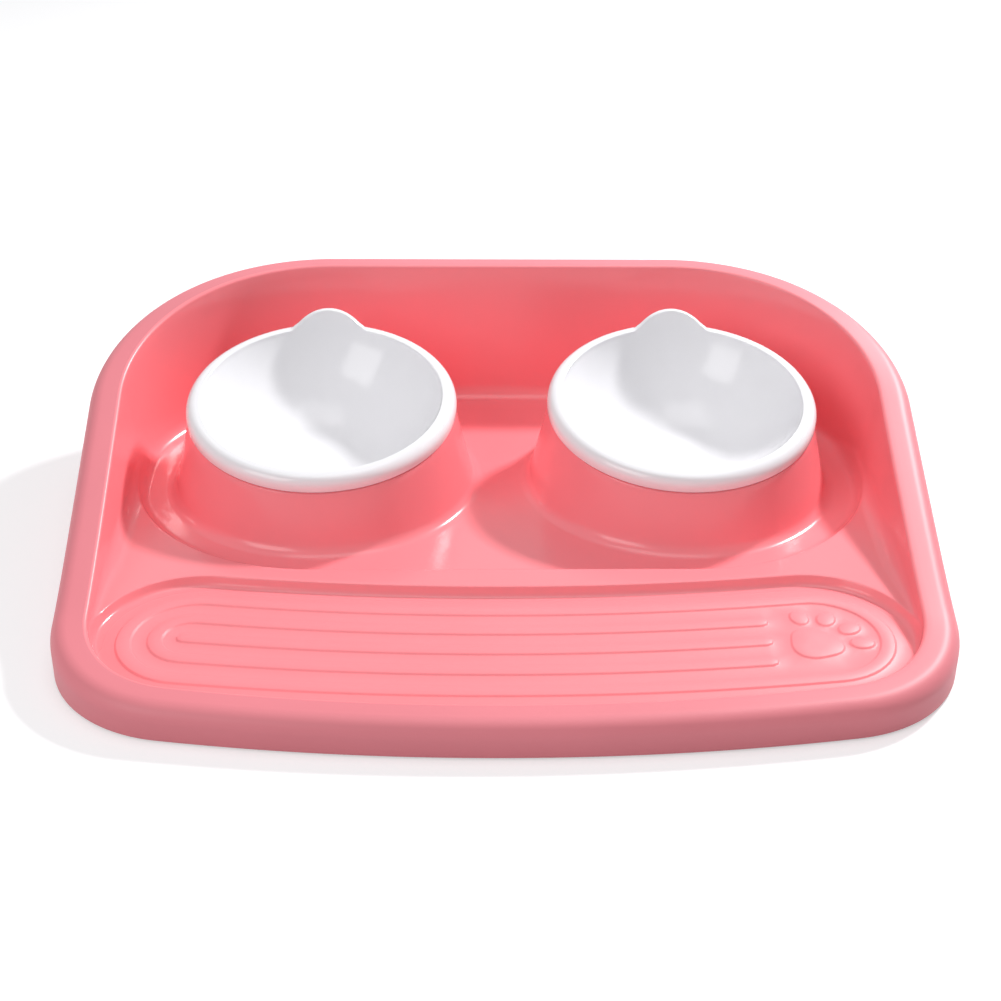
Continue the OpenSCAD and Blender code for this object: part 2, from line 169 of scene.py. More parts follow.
def soft_ramp(t):
    """A ramp that eases in from zero."""
    return rise_ease * np.logaddexp(0, t / rise_ease)


def rise_at(y):
    """Height of the lip's top above the deck, at y measured from the bowls' centre line."""
    slope = (back_rise - front_rise) / (rise_start + rise_end)
    return front_rise + slope * (soft_ramp(y + rise_start) - soft_ramp(y - rise_end))


back_y = (inner_d + (rise_at(bowl_setback - inner_d) - rise_at(bowl_setback)) * lean) / 2
rim_y = back_y - bowl_setback
front_y = back_y - inner_d
half_w = inner_w / 2


def plan_arc(centre, radius, start, end, steps):
    """Points with their outward normals along an arc, without its last point."""
    a = np.linspace(start, end, steps, endpoint=False)
    return np.column_stack([centre[0] + radius * np.cos(a), centre[1] + radius * np.sin(a),
        np.cos(a), np.sin(a)])


back_c = np.array([half_w - back_corner_r, back_y - back_corner_r])
bow_c = np.array([0, front_y + front_bow_r])
side_n = np.array([math.cos(side_taper), -math.sin(side_taper)])
side_u = np.array([-math.sin(side_taper), -math.cos(side_taper)])
corner_from = back_c + (back_corner_r - front_corner_r) * side_n - bow_c
along = -corner_from @ side_u
side_l = along + math.sqrt(along ** 2 - corner_from @ corner_from + (front_bow_r - front_corner_r) ** 2)
front_c = bow_c + corner_from + side_l * side_u
front_a = math.atan2(front_c[1] - bow_c[1], front_c[0] - bow_c[0])
back_steps, back_corner_steps, side_steps, front_corner_steps, bow_steps = 12, 50, 36, 30, 30
back_x = np.linspace(0, back_c[0], back_steps, endpoint=False)
side_t = np.linspace(0, side_l, side_steps, endpoint=False)[:, None]
half_plan = np.vstack([
    np.column_stack([back_x, back_x * 0 + back_y, back_x * 0, back_x * 0 + 1]),
    plan_arc(back_c, back_corner_r, math.pi / 2, -side_taper, back_corner_steps),
    np.hstack([back_c + back_corner_r * side_n + side_t * side_u, side_t * 0 + side_n]),
    plan_arc(front_c, front_corner_r, -side_taper, front_a, front_corner_steps),
    plan_arc(bow_c, front_bow_r, front_a, -math.pi / 2, bow_steps),
    [[0, front_y, 0, -1]]])
plan = np.vstack([half_plan, half_plan[-2:0:-1] * [-1, 1, -1, 1]])
plan_spot, plan_out = plan[:, :2], plan[:, 2:]

basin_drop, basin_r, basin_front = 4.5, 92, 89.5
basin_step = (1.5, 6, math.radians(60))
basin_c = np.array([bowl_spacing / 2, rim_y - basin_front + basin_r])
tread_drop, tread_back = 4.5, 102.7
tread_step = (1, 3, math.radians(70))
rib_line, rib_bow_r, rib_w, rib_pitch, rib_h, rib_stop = 146.6, 961, 7.2, 14.6, 0.8, 110
rib_half_l, middle_half_l, inner_half_l = 133, 134.5, 137
rib_soft, rib_foot_share = 1.2, 0.1
tread_r = rib_line - tread_back
rib_c = np.array([0, rim_y - rib_line + rib_bow_r])


def rib_end(half_l):
    """The turn of the ribs' middle line at its end, and the centre of the round end there."""
    turn = math.asin(half_l / rib_bow_r)
    return turn, np.array([half_l, rib_c[1] - rib_bow_r * math.cos(turn)])


def step_run(drop, step):
    """How wide a step is, from its rounded edge to its filleted foot."""
    over, foot, slope = step
    straight = (drop - (over + foot) * (1 - math.cos(slope))) / math.sin(slope)
    return (over + foot) * math.sin(slope) + straight * math.cos(slope)


def step_depth(inside, drop, step):
    """Depth of a step below the deck, at a distance inside its edge."""
    over, foot, slope = step
    run = step_run(drop, step)
    d = np.clip(inside, 0, run)
    rounded = over - np.sqrt(np.maximum(over ** 2 - d ** 2, 0))
    straight = over * (1 - math.cos(slope)) + (d - over * math.sin(slope)) * math.tan(slope)
    filleted = drop - foot + np.sqrt(np.maximum(foot ** 2 - (run - d) ** 2, 0))
    lower = np.where(d < run - foot * math.sin(slope), straight, filleted)
    return np.where(d < over * math.sin(slope), rounded, lower)


def rib_distance(x, y, half_l):
    """Distance to the ribs' bowed middle line, and how far behind that line a point lies."""
    turn, end = rib_end(half_l)
    behind = rib_bow_r - np.hypot(x, y - rib_c[1])
    past_end = np.arctan2(np.abs(x), rib_c[1] - y) > turn
    to_end = np.hypot(np.abs(x) - end[0], y - end[1])
    return np.where(past_end, to_end, np.abs(behind)), behind, past_end


def tread_inside(x, y):
    """Distance inside the tread's edge, which is open to the front wall."""
    distance, behind, past_end = rib_distance(x, y, rib_half_l)
    sideways = np.maximum(np.abs(x) - rib_half_l, 0)
    in_front = np.where(past_end, y < rib_end(rib_half_l)[1][1], behind < 0)
    return tread_r - np.where(in_front, sideways, distance)


def basin_inside(x, y):
    """Distance inside the basin's edge, which is open to the side and back walls."""
    return basin_r - np.hypot(np.maximum(np.abs(x) - basin_c[0], 0), np.maximum(basin_c[1] - y, 0))


def smooth(t):
    """An S-shaped ease from 0 to 1."""
    t = np.clip(t, 0, 1)
    return t * t * (3 - 2 * t)


def rib_point(x, off):
    """The point at x that lies in front of the ribs' middle line by some distance."""
    return np.array([x, rib_c[1] - math.sqrt((rib_bow_r + off) ** 2 - x * x)])


rib_stops = [rib_point(rib_stop, k * rib_pitch) for k in (-1, 0, 1)]
paw_turn, paw_pad, paw_toe = math.radians(39), (12, 10.8), (4.5, 5.9)
paw_swell, toe_reach, toe_step = 0.09, 20.1, math.radians(33)
paw_x, paw_front = 130.7, 4.6
paw_c = rib_point(paw_x, paw_front)
paw_ovals = [(paw_c, -paw_turn, paw_pad, paw_swell)]
for share in (1.5, 0.5, -0.5, -1.5):
    turn = share * toe_step - paw_turn
    paw_ovals.append((paw_c + toe_reach * np.array([-math.sin(turn), math.cos(turn)]), turn, paw_toe, 0))


def oval_inside(x, y, oval):
    """Distance inside the edge of one of the paw's ovals."""
    centre, turn, (across, length), swell = oval
    dx, dy = x - centre[0], y - centre[1]
    u = (dx * math.cos(turn) + dy * math.sin(turn)) / across
    v = (dy * math.cos(turn) - dx * math.sin(turn)) / length
    edge = 1 + swell * np.sin(3 * np.arctan2(v, u))
    return (1 - np.hypot(u, v) / edge) * min(across, length)


def relief(x, y):
    """Height of the ribs and the paw above the tread."""
    outer, middle, bar = (rib_distance(x, y, half_l)[0]
        for half_l in (rib_half_l, middle_half_l, inner_half_l))
    inner = rib_w / 2 - np.minimum(np.abs(middle - rib_pitch), bar)
    ends = rib_w / 2 - np.min([np.hypot(x - p[0], y - p[1]) for p in rib_stops], axis=0)
    inside = np.maximum(rib_w / 2 - np.abs(outer - 2 * rib_pitch), np.where(x < rib_stop, inner, ends))
    for oval in paw_ovals:
        inside = np.maximum(inside, oval_inside(x, y, oval))
    return rib_h * smooth(inside / rib_soft + rib_foot_share)


def depth(x, y):
    """Depth of the floor below the deck, without the ribs and the paw."""
    return np.maximum(step_depth(basin_inside(x, y), basin_drop, basin_step),
        step_depth(tread_inside(x, y), tread_drop, tread_step))


# The wall's foot: a fillet that blends the floor into the wall all round. It is wide round the
# basin and small at the low front, where there is little wall above the tread.
basin_fillet, front_fillet = 8, 3
wide_from, small_from = -40, -80
level_rounds, wall_share = 14, 0.95
plan_rise = rise_at(plan_spot[:, 1] - rim_y)
plan_fillet = front_fillet + (basin_fillet - front_fillet) * smooth(
    (plan_spot[:, 1] - small_from) / (wide_from - small_from))
plan_level = np.zeros(len(plan))
for _ in range(level_rounds):
    fillet = np.minimum(plan_fillet, wall_share * (plan_rise - plan_level - lip_inner_r))
    plan_foot = plan_level + fillet * (1 - math.sin(wall_draft))
    wall_spot = plan_spot + plan_out * (lean * plan_foot)[:, None]
    plan_level = (plan_level - depth(*wall_spot.T)) / 2

# The lip's section, from the top of that fillet up the wall, over the lip and down the skirt, and
# back up inside it. Each point says what it takes, outwards and up, from the rise of the lip, the
# top of the fillet and the level of the floor.
section = []


def section_point(out, height, rise=(0, 0), foot=(0, 0), level=(0, 0), satin=0):
    """A point of the section."""
    return out, height, *rise, *foot, *level, satin


def section_run(rows, end):
    """Adds even steps from the last point of the section to an end point, without that point."""
    start = np.array(section[-1])
    for i in range(1, rows):
        section.append(tuple(start + (np.array(end) - start) * i / rows))


def section_arc(centre, radius, start, end, rows, lead_in, **shares):
    """Adds an arc, after the even steps that lead up to it."""
    points = [section_point(centre[0] + radius * math.cos(a), centre[1] + radius * math.sin(a), **shares)
        for a in np.radians(np.linspace(start, end, rows + 1))]
    section_run(lead_in, points[0])
    section.extend(points)


edge_r, hidden_r, inner_rows = 0.4, 0.8, 6
slant = 1 / math.cos(wall_draft)
draft_deg = math.degrees(wall_draft)
foot_share = (1 - math.sin(wall_draft)) / math.cos(wall_draft)
with_lip = {"rise": (1, 1)}
below_lip = {"rise": (1, 0), "satin": 1}
section.append(section_point(0, 0, foot=(1, 1)))
section_arc((lip_inner_r * (slant - lean), -lip_inner_r), lip_inner_r, 180 - draft_deg, 90,
    rows=inner_rows, lead_in=9, **with_lip)
for i in range(inner_rows + 1):
    section[i - inner_rows - 1] = (*section[i - inner_rows - 1][:-1], i / inner_rows)
section_arc((lip_w - lip_outer_r, -lip_outer_r), lip_outer_r, 90, 0,
    rows=14, lead_in=3, **with_lip, satin=1)
section_arc((lip_w - edge_r, skirt_gap + edge_r - deck), edge_r, 0, -90,
    rows=3, lead_in=6, **below_lip)
section_arc((lip_w - wall + edge_r, skirt_gap + edge_r - deck), edge_r, -90, -180,
    rows=3, lead_in=1, **below_lip)
section_arc((lip_w - lip_outer_r, -lip_outer_r), lip_outer_r - wall, 0, 90,
    rows=6, lead_in=3, **with_lip, satin=1)
section_arc(((wall + hidden_r) * (slant - lean), -wall - hidden_r), hidden_r, 90, 180 - draft_deg,
    rows=3, lead_in=2, **with_lip)
section_arc((wall * (slant - lean) - edge_r * foot_share, edge_r - wall), edge_r, -draft_deg, -90,
    rows=3, lead_in=4, level=(1, 1))
section.append(section_point(0, -wall, foot=(1, 0), level=(0, 1)))


def carrier(name, points, edges, **attributes):
    """An object whose points carry values for a node tree."""
    mesh = bpy.data.meshes.new(name)
    mesh.from_pydata([tuple(p) for p in points], edges, [])
    for key, values in attributes.items():
        values = np.asarray(values, float)
        kind, field = ("FLOAT", "value") if values.ndim == 1 else ("FLOAT_VECTOR", "vector")
        mesh.attributes.new(key, kind, "POINT").data.foreach_set(field, values.ravel())
    made = bpy.data.objects.new(name, mesh)
    bpy.context.scene.collection.objects.link(made)
    return made


def three(first, second, third=0):
    """Columns side by side, with a number in place of a column where all are alike."""
    first = np.asarray(first, float)
    return np.column_stack([first, first * 0 + second, first * 0 + third])


stations = len(plan)
plan_line = carrier("plan_line", three(plan_spot[:, 0], plan_spot[:, 1]) * MM,
    [(i, (i + 1) % stations) for i in range(stations)], spot=three(plan_spot[:, 0], plan_spot[:, 1]),
    outward=three(plan_out[:, 0], plan_out[:, 1]), rise=plan_rise, foot=plan_foot, level=plan_level)
out, high, rise_out, rise_up, foot_out, foot_up, level_out, level_up, satin = np.array(section).T
section_line = carrier("section_line", three(out, 0, high) * MM,
    [(i, i + 1) for i in range(len(section) - 1)], base=three(out, 0, high),
    with_rise=three(rise_out, 0, rise_up), with_foot=three(foot_out, 0, foot_up),
    with_level=three(level_out, 0, level_up), satin=satin)


def node_group(name, inputs):
    """A geometry node tree with named inputs, its input node, and the inputs' identifiers."""
    tree = bpy.data.node_groups.new(name, "GeometryNodeTree")
    tree.interface.new_socket("Geometry", in_out="INPUT", socket_type="NodeSocketGeometry")
    named = {key: tree.interface.new_socket(key, in_out="INPUT", socket_type=kind).identifier
        for key, kind in inputs.items()}
    tree.interface.new_socket("Geometry", in_out="OUTPUT", socket_type="NodeSocketGeometry")
    return tree, add(tree, "NodeGroupInput").outputs, named


def finish_tree(tree, given, shape):
    """Ends a tree: its instances are made real and take their material."""
    real = add(tree, "GeometryNodeRealizeInstances", {0: shape})
    dressed = add(tree, "GeometryNodeSetMaterial", {"Geometry": real.outputs[0],
        "Material": given["Material"]})
    add(tree, "NodeGroupOutput", {0: dressed.outputs[0]})


def grown(holder, tree, named, values):
    """Runs a tree on an object, and leaves the result in it as a plain mesh."""
    modifier = holder.modifiers.new(tree.name, "NODES")
    modifier.node_group = tree
    for key, value in values.items():
        modifier[named[key]] = value
    evaluated = holder.evaluated_get(bpy.context.evaluated_depsgraph_get())
    holder.data = bpy.data.meshes.new_from_object(evaluated)
    holder.modifiers.remove(modifier)
    return holder


# The tray's plastic: injection-moulded polypropylene. The polished inside mirrors the lamps with
# the faint waviness of a moulding. The fine spark-eroded texture of the lip and the tread spreads
# the light softly, and the lip looks a little greyer for it.
polished_pink, satin_pink = "#FD8D95", "#E7848E"
polished_roughness, satin_roughness = 0.16, 0.46
wave_mm, wave_depth = 14, 0.012
grain_mm, grain_depth = 0.55, 0.02
cloud_mm, cloud_dark, cloud_pale = 90, 0.975, 1.02
noise_low, noise_high, smear = 0.3, 0.7, 0.05
lip_satin = 0.96
first_colour, second_colour = 6, 7
pink, tree = material("moulded_polypropylene")
place = add(tree, "ShaderNodeTexCoord").outputs["Object"]
texture = add(tree, "ShaderNodeAttribute", attribute_name="satin").outputs["Fac"]
waves = add(tree, "ShaderNodeTexNoise", {"Vector": place, "Scale": 1 / (wave_mm * MM), "Detail": 1.0})
grain = add(tree, "ShaderNodeTexNoise", {"Vector": place, "Scale": 1 / (grain_mm * MM), "Detail": 2.0})
flow = add(tree, "ShaderNodeTexNoise", {"Vector": place, "Scale": 1 / (cloud_mm * MM), "Detail": 2.0})
wavy = add(tree, "ShaderNodeBump", {"Height": waves.outputs["Fac"], "Strength": 1.0,
    "Distance": wave_depth * MM})
rough = add(tree, "ShaderNodeBump", {"Height": grain.outputs["Fac"], "Strength": texture,
    "Distance": grain_depth * MM, "Normal": wavy.outputs[0]})
on_lip = add(tree, "ShaderNodeMapRange", {"Value": texture, "From Min": lip_satin})
hue = add(tree, "ShaderNodeMix", {"Factor": on_lip.outputs[0], first_colour: srgb(polished_pink),
    second_colour: srgb(satin_pink)}, data_type="RGBA")
cloud = add(tree, "ShaderNodeMapRange", {"Value": flow.outputs["Fac"], "From Min": noise_low,
    "From Max": noise_high, "To Min": cloud_dark, "To Max": cloud_pale})
tint = add(tree, "ShaderNodeVectorMath", {0: hue.outputs[2], "Scale": cloud.outputs[0]}, operation="SCALE")
gloss = add(tree, "ShaderNodeMapRange", {"Value": texture, "To Min": polished_roughness,
    "To Max": satin_roughness})
speckle = add(tree, "ShaderNodeMath", {0: flow.outputs["Fac"], 1: smear, 2: gloss.outputs[0]},
    operation="MULTIPLY_ADD")
plastic = add(tree, "ShaderNodeBsdfPrincipled", {"Base Color": tint.outputs[0],
    "Roughness": speckle.outputs[0], "IOR": 1.49, "Normal": rough.outputs[0]})
add(tree, "ShaderNodeOutputMaterial", {"Surface": plastic.outputs[0]})

# The lip and the wall are one section swept round the plan. The tree adds up what each point of
# the section takes from the rise, the foot and the level of the station it stands at.
tree, given, named = node_group("lip_sweep", {"Section": "NodeSocketObject",
    "Deck height": "NodeSocketFloat", "Wall lean": "NodeSocketFloat", "Millimetre": "NodeSocketFloat",
    "Material": "NodeSocketMaterial"})


def carried(name, kind="FLOAT"):
    """What the points carry under a name."""
    return add(tree, "GeometryNodeInputNamedAttribute", {"Name": name}, data_type=kind).outputs[0]


def scaled(part, amount):
    """A vector times a number."""
    return add(tree, "ShaderNodeVectorMath", {0: part, "Scale": amount}, operation="SCALE").outputs[0]


def summed(first, second):
    """The sum of two vectors."""
    return add(tree, "ShaderNodeVectorMath", {0: first, 1: second}, operation="ADD").outputs[0]


path = add(tree, "GeometryNodeMeshToCurve", {"Mesh": given["Geometry"]})
profile = add(tree, "GeometryNodeMeshToCurve", {"Mesh": add(tree, "GeometryNodeObjectInfo",
    {"Object": given["Section"]}).outputs["Geometry"]})
swept = add(tree, "GeometryNodeCurveToMesh", {"Curve": path.outputs[0],
    "Profile Curve": profile.outputs[0]})
with_rise, with_foot, with_level = (scaled(carried("with_" + key, "FLOAT_VECTOR"), carried(key))
    for key in ("rise", "foot", "level"))
climb = summed(summed(with_rise, with_foot), with_level)
drafted = add(tree, "ShaderNodeVectorMath", {0: climb, 1: add(tree, "ShaderNodeCombineXYZ",
    {"X": given["Wall lean"], "Z": 1.0}).outputs[0]}, operation="MULTIPLY").outputs[0]
offset = add(tree, "ShaderNodeSeparateXYZ", {0: summed(carried("base", "FLOAT_VECTOR"), drafted)})
raised = add(tree, "ShaderNodeMath", {0: offset.outputs["Z"], 1: given["Deck height"]}, operation="ADD")
lifted = add(tree, "ShaderNodeCombineXYZ", {"Z": raised.outputs[0]})
spot = summed(carried("spot", "FLOAT_VECTOR"), summed(lifted.outputs[0],
    scaled(carried("outward", "FLOAT_VECTOR"), offset.outputs["X"])))
placed = add(tree, "GeometryNodeSetPosition", {"Geometry": swept.outputs[0],
    "Position": scaled(spot, given["Millimetre"])})
finish_tree(tree, given, placed.outputs[0])
lip = grown(plan_line, tree, named, {"Section": section_line, "Deck height": float(deck), "Wall lean": lean,
    "Millimetre": MM, "Material": pink})
bpy.data.objects.remove(section_line)

# The floor: deck, basin and tread with the ribs and the paw. Its triangles follow the steps and
# the ribs' edges, so that each edge shows as a clean line, and the underside repeats its levels.
pedestal_back, pedestal_foot_r, pedestal_top_r, pedestal_fillet_r = 3.2, 73.4, 63.8, 6
flange_h, seat_gap, rim_rise = 7.5, 0.25, 42.9
basin_z = deck - basin_drop
cone_slope = (pedestal_foot_r - pedestal_top_r) / (rim_rise + basin_drop - flange_h - seat_gap)
cone_a = math.atan(cone_slope)
pedestal_loop_r = pedestal_foot_r + pedestal_fillet_r * (1 - math.sin(cone_a)) / math.cos(cone_a)
pedestal_steps = 160
pedestal_turns = np.linspace(0, 2 * math.pi, pedestal_steps, endpoint=False)
pedestal_axes = [np.array([side * bowl_spacing / 2, rim_y + pedestal_back]) for side in (-1, 1)]
dots, lines = [tuple(p) for p in wall_spot], [(i, (i + 1) % stations) for i in range(stations)]
clear_of_wall, dot_step, stop_clear, paw_dots = 0.3, 3.6, 0.5, 40
before_step, past_step, rounded_lines, filleted_lines = 1.2, 1, 5, 7
fillet_lines, basin_side_dots, tread_side_dots, rib_lines = 8, 30, 20, 5
filler_step, filler_row_share, filler_off_pedestal, filler_off_wall = 7, 0.87, 2, 3
same_dot = 1e-5


def arc_dots(centre, radius, start, end):
    """Dots along an arc, about dot_step apart."""
    count = max(int(abs(end - start) * radius / dot_step), 4)
    a = np.linspace(start, end, count + 1)
    return np.column_stack([centre[0] + radius * np.cos(a), centre[1] + radius * np.sin(a)])


def from_wall(points):
    """Distance inwards from the wall, negative outside it, and the radius of the fillet there."""
    a, b = wall_spot, np.roll(wall_spot, -1, axis=0)
    edge, found = b - a, []
    for p in np.asarray(points, float):
        t = np.clip(((p - a) * edge).sum(1) / (edge * edge).sum(1), 0, 1)
        gap = np.hypot(*(p - a - t[:, None] * edge).T)
        i = gap.argmin()
        radius = fillet[i] + (fillet[(i + 1) % stations] - fillet[i]) * t[i]
        inward = edge[i][0] * (p - a[i])[1] < edge[i][1] * (p - a[i])[0]
        found.append((gap[i] if inward else -gap[i], radius))
    return np.array(found).T


def fillet_rise(points):
    """Height of the wall's fillet above the floor that it grows from."""
    gap, radius = from_wall(points)
    reach = np.clip(radius * math.cos(wall_draft) - gap, 0, radius)
    return radius - np.sqrt(radius ** 2 - reach ** 2)


def lay(points, closed=False, clear=clear_of_wall):
    """Lays a line of dots that the floor's triangles have to follow, clear of the wall."""
    kept = from_wall(points)[0] > clear
    numbers = [len(dots) + sum(kept[:i]) if keep else None for i, keep in enumerate(kept)]
    dots.extend(tuple(p) for p, keep in zip(points, kept) if keep)
    pairs = list(zip(numbers, numbers[1:])) + ([(numbers[-1], numbers[0])] if closed else [])
    lines.extend(pair for pair in pairs if None not in pair)


def mirrored(points):
    """A line that starts on the middle plane, with its mirror image before it."""
    return np.vstack([points[:0:-1] * [-1, 1], points])


def step_levels(drop, step):
    """The distances inside an edge at which its step is drawn."""
    over, foot, slope = step
    run = step_run(drop, step)
    rounded = over * np.sin(np.linspace(0, slope, rounded_lines))
    filleted = run - foot * np.sin(np.linspace(slope, 0, filleted_lines))
    return [-before_step, *rounded, *filleted, run + past_step]


for a in np.linspace(0, math.pi / 2 - wall_draft, fillet_lines)[:-1]:
    reach = fillet * (math.cos(wall_draft) - math.sin(a))
    lay(wall_spot - plan_out * reach[:, None], closed=True, clear=0)
for inside in step_levels(basin_drop, basin_step):
    radius = basin_r - inside
    front = basin_c[1] - radius
    across = np.linspace(0, basin_c[0], int(basin_c[0] / dot_step), endpoint=False)
    side_line = np.linspace(basin_c[1], back_y, basin_side_dots)[1:]
    lay(mirrored(np.vstack([np.column_stack([across, across * 0 + front]),
        arc_dots(basin_c, radius, -math.pi / 2, 0),
        np.column_stack([side_line * 0 + basin_c[0] + radius, side_line])])))


def bar_half(half, half_l):
    """The right half of the outline of a bowed bar with a round end, from back to front."""
    turn, end = rib_end(half_l)
    behind = arc_dots(rib_c, rib_bow_r - half, -math.pi / 2, turn - math.pi / 2)
    before = arc_dots(rib_c, rib_bow_r + half, turn - math.pi / 2, -math.pi / 2)
    return behind, arc_dots(end, half, math.pi / 2 + turn, turn - math.pi / 2), before


for inside in step_levels(tread_drop, tread_step):
    radius = tread_r - inside
    turn, end = rib_end(rib_half_l)
    side_line = np.linspace(end[1], front_y, tread_side_dots)[1:]
    lay(mirrored(np.vstack([bar_half(radius, rib_half_l)[0][:-1],
        arc_dots(end, radius, math.pi / 2 + turn, 0),
        np.column_stack([side_line * 0 + end[0] + radius, side_line])])))

for inside in np.linspace(-rib_foot_share, 1 - rib_foot_share, rib_lines) * rib_soft:
    reach = rib_w / 2 - inside
    for half in (2 * rib_pitch + reach, 2 * rib_pitch - reach):
        behind, end, before = bar_half(half, rib_half_l)
        loop = np.vstack([behind[:-1], end[:-1], before])
        lay(np.vstack([loop[:-1], (loop * [-1, 1])[:0:-1]]), closed=True)
    for half, half_l in ((rib_pitch + reach, middle_half_l), (rib_pitch - reach, middle_half_l),
            (reach, inner_half_l)):
        behind, end, before = bar_half(half, half_l)
        cut = [part[part[:, 0] < rib_stop - stop_clear] for part in (behind, before)]
        lay(np.vstack([cut[0][::-1], (behind * [-1, 1])[1:-1], (end * [-1, 1])[:-1],
            (before * [-1, 1])[:-1], cut[1][::-1]]))
    for centre in rib_stops:
        turn = math.asin(rib_stop / rib_bow_r)
        lay(arc_dots(centre, reach, turn - math.pi / 2, turn + math.pi / 2))
    for centre, turn, (across, length), swell in paw_ovals:
        share = 1 - inside / min(across, length)
        a = np.linspace(0, 2 * math.pi, paw_dots, endpoint=False)
        edge = share * (1 + swell * np.sin(3 * a))
        u, v = across * edge * np.cos(a), length * edge * np.sin(a)
        lay(np.column_stack([centre[0] + u * math.cos(turn) - v * math.sin(turn),
            centre[1] + u * math.sin(turn) + v * math.cos(turn)]), closed=True)
for axis in pedestal_axes:
    loop = axis + pedestal_loop_r * np.column_stack([np.cos(pedestal_turns), np.sin(pedestal_turns)])
    lay(loop, closed=True)

laid = kdtree.KDTree(len(dots))
for i, p in enumerate(dots):
    laid.insert((*p, 0), i)
laid.balance()
filler_rows = np.arange(front_y, back_y, filler_step * filler_row_share)
fillers = [(x + filler_step / 2 * (row % 2), y) for row, y in enumerate(filler_rows)
    for x in np.arange(-half_w, half_w, filler_step)]
fillers = [p for p in fillers if laid.find((*p, 0))[2] > filler_step / 2]
off_pedestals = [all(np.hypot(*(p - axis)) > pedestal_loop_r + filler_off_pedestal
    for axis in pedestal_axes) for p in fillers]
fillers = [p for p, off, gap in zip(fillers, off_pedestals, from_wall(fillers)[0])
    if off and gap > filler_off_wall]
points, _, triangles, origins, _, _ = geometry.delaunay_2d_cdt(
    [Vector(p) for p in dots + fillers], lines, [], 0, same_dot, True)
points, triangles = np.array(points, float), np.array(triangles)
middles = points[triangles].mean(axis=1)
kept = np.all([np.hypot(*(middles - axis).T) > pedestal_loop_r * math.cos(math.pi / pedestal_steps)
    for axis in pedestal_axes], axis=0)
kept &= from_wall(middles)[0] > 0
on_wall = np.array([any(k < stations for k in from_dots) for from_dots in origins])
kept &= ~on_wall[triangles].all(axis=1)
triangles = triangles[kept]
floor_level, floor_rise = deck - depth(*points.T), fillet_rise(points)
for i, from_dots in enumerate(origins):
    for k in from_dots:
        if k < stations:
            floor_level[i], floor_rise[i] = deck + plan_level[k], plan_foot[k] - plan_level[k]


def joined(name, parts):
    """One object from (points in mm, faces) pairs."""
    pieces = []
    for points, faces in parts:
        mesh = bpy.data.meshes.new(name)
        mesh.from_pydata((np.asarray(points) * MM).tolist(), [], [list(map(int, f)) for f in faces])
        pieces.append(bpy.data.objects.new(name, mesh))
        bpy.context.scene.collection.objects.link(pieces[-1])
    return pieces


top = np.column_stack([points, floor_level + floor_rise + relief(*points.T)])
under = np.column_stack([points, floor_level - wall])


# The pedestals: hollow cones that grow from the basin, each with a tilted shoulder and a low
# collar on which a bowl seats. They are part of the same moulding, open to the table below.
bowl_tilt = math.radians(10)
rim_r, flange_t, rim_t, bowl_wall, fit_gap = 65, 1.8, 3.6, 2.2, 0.4
tilt = np.array(Matrix.Rotation(bowl_tilt, 3, "X"))
rim_centres = {"bowl_left": np.array([-bowl_spacing / 2, rim_y, deck + rim_rise]),
    "bowl_right": np.array([bowl_spacing / 2, rim_y, deck + rim_rise])}
collar_out = rim_r - flange_t - fit_gap
collar_in = collar_out - bowl_wall + fit_gap
collar_top, shoulder = -rim_t - seat_gap, -flange_h - seat_gap
collar_edge_r, foot_rows, cone_rows, hollow_shares = 0.4, 8, 9, (0.33, 0.66, 1)


def eased_corner(before, corner, after, radius=0.6, steps=2):
    """Points that round a corner off."""
    a = corner + (before - corner) / np.linalg.norm(before - corner) * radius
    b = corner + (after - corner) / np.linalg.norm(after - corner) * radius
    return [(1 - t) ** 2 * a + 2 * t * (1 - t) * corner + t * t * b for t in np.linspace(0, 1, steps + 1)]


def pedestal_column(axis, centre, turn):
    """One upright run of points: foot fillet, cone, shoulder, collar, and down the hollow."""
    way = np.array([math.cos(turn), math.sin(turn), 0])

    def on_cone(z, inset=0):
        return np.array([*axis, z]) + way * (pedestal_foot_r - (z - basin_z) * cone_slope - inset)

    def meets(level, inset):
        low, high = (tilt.T @ (on_cone(z, inset) - centre) for z in (0, rim_rise))
        return on_cone(rim_rise * (level - low[2]) / (high[2] - low[2]), inset)

    def in_bowl(radius, z):
        return centre + tilt @ np.array([*(outward * radius), z])

    edge, inner_edge = meets(shoulder, 0), meets(shoulder - wall, wall)
    outward = (tilt.T @ (edge - centre))[:2]
    outward = outward / np.linalg.norm(outward)
    column = []
    for a in np.linspace(0, math.pi / 2 - cone_a, foot_rows):
        column.append(np.array([*axis, basin_z + pedestal_fillet_r * (1 - math.cos(a))])
            + way * (pedestal_loop_r - pedestal_fillet_r * math.sin(a)))
    foot = column[-1]
    column += [foot + (edge - foot) * s for s in np.linspace(0, 1, cone_rows)[1:-1]]
    seat = in_bowl(collar_out, shoulder)
    column += eased_corner(foot, edge, seat)
    column += [seat]
    for r, z, next_r, next_z in ((collar_out, collar_top, collar_in, collar_top),
            (collar_in, collar_top, collar_in, shoulder)):
        column += eased_corner(column[-1], in_bowl(r, z), in_bowl(next_r, next_z), collar_edge_r)
    column += [in_bowl(collar_in, shoulder - wall), inner_edge]
    under_z = basin_z - wall
    low = on_cone(under_z, wall)
    column += [inner_edge + (low - inner_edge) * s for s in hollow_shares]
    column.append(np.array([*axis, under_z]) + way * pedestal_loop_r)
    return column


